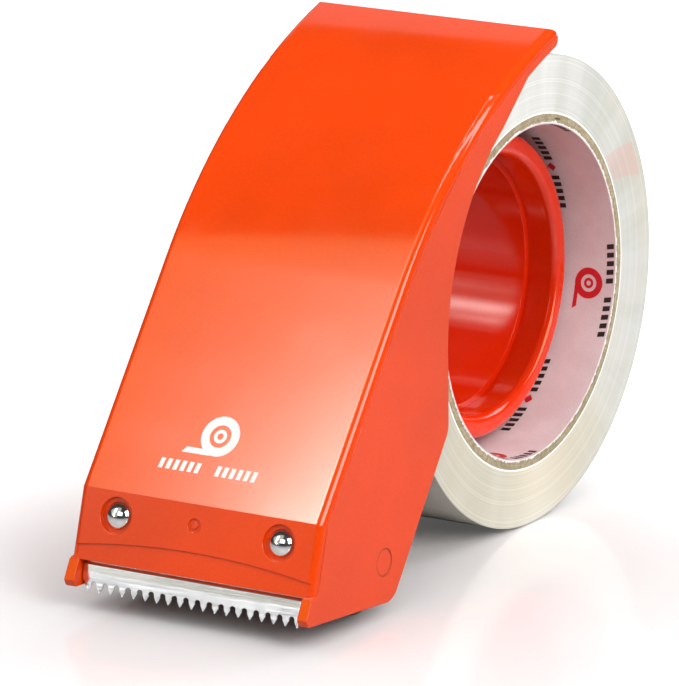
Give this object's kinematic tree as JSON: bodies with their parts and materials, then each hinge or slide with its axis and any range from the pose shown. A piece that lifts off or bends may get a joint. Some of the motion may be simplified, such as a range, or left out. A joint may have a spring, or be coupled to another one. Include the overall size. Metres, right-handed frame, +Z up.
{
  "type": "packing tape dispenser",
  "caption": "Hand-held side-loading packing-tape dispenser: curved cover, toothed blade, rubber roller and a full tape roll on an open hub with a finger hole.",
  "frame": {"origin": "on the table, midway between the outer side faces and midway between the ears' tips and the back of the roll", "axes": "+X to the user's right, across the tape; -Y forwards, to the blade; +Z up; the roll and the roller turn about X"},
  "size_m": [0.062, 0.1668, 0.117],
  "materials": {
    "shell_plastic": "glossy moulded orange-red plastic",
    "hub_plastic": "glossy moulded orange-red plastic",
    "ring_plastic": "glossy moulded orange-red plastic",
    "zinc_steel": "bright zinc-plated",
    "blade_steel": "fine-ground spring steel",
    "rivet_chrome": "polished dome",
    "washer_steel": "pressed",
    "axle_plastic": "glossy, trimmed flush",
    "roller_plastic": "moulded black",
    "sleeve_rubber": "smooth ground black rubber",
    "film_clear": "wound clear film, pale at the edge",
    "core_board": "spiral-wound kraft board",
    "liner_paper": "printed paper"
  },
  "bodies": {
    "frame": {"body_shell": "shell_plastic", "hub_drum": "hub_plastic", "hub_end_ring": "ring_plastic", "hub_screws": "zinc_steel", "blade": "blade_steel", "blade_rivets": "rivet_chrome", "rivet_washers": "washer_steel", "roller_axle": "axle_plastic"},
    "tape_roll": {"tape_film": "film_clear", "tape_core": "core_board", "core_liner": "liner_paper"},
    "roller": {"roller_core": "roller_plastic", "roller_sleeve": "sleeve_rubber"}
  },
  "joints": [
    {"name": "tape_roll_spin", "type": "hinge", "parent": "frame", "child": "tape_roll", "pos_m": [0, 0.02955, 0.0539], "axis": [1, 0, 0], "continuous": true},
    {"name": "roller_spin", "type": "hinge", "parent": "frame", "child": "roller", "pos_m": [0, -0.05175, 0.0125], "axis": [1, 0, 0], "continuous": true}
  ]
}
